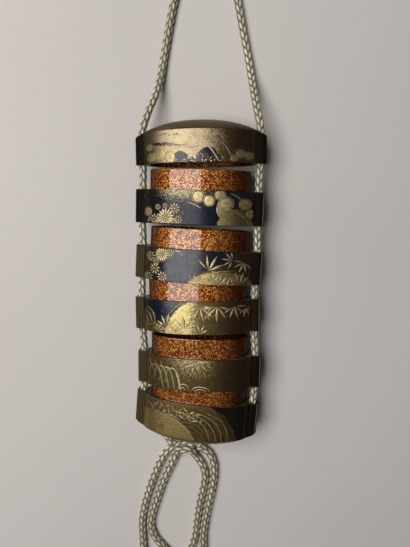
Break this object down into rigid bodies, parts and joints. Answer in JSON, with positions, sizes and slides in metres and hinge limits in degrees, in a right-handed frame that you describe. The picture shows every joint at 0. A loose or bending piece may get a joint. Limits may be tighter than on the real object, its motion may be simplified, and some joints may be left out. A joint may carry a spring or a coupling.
{
  "type": "inro case",
  "caption": "Small stacking case of five lacquered boxes and a lid, drawn apart on a silk cord with a bow below.",
  "frame": {"origin": "on the surface the case lies on, below the centre of the lid and the five cases", "axes": "+Z out of the decorated front, +Y along the stack from the bottom case to the lid, +X to the right seen from the front"},
  "size_m": [0.061, 0.2983, 0.0238],
  "materials": {
    "lacquer": "polished black and gold lacquer over thin wood",
    "silk_cord": "round braided silk, satin"
  },
  "bodies": {
    "root": {"lid": "lacquer", "case_1": "lacquer", "case_2": "lacquer", "case_3": "lacquer", "case_4": "lacquer", "case_5": "lacquer", "cord": "silk_cord", "bow_loop_left": "silk_cord", "bow_loop_right": "silk_cord", "bow_knot": "silk_cord"}
  },
  "joints": []
}
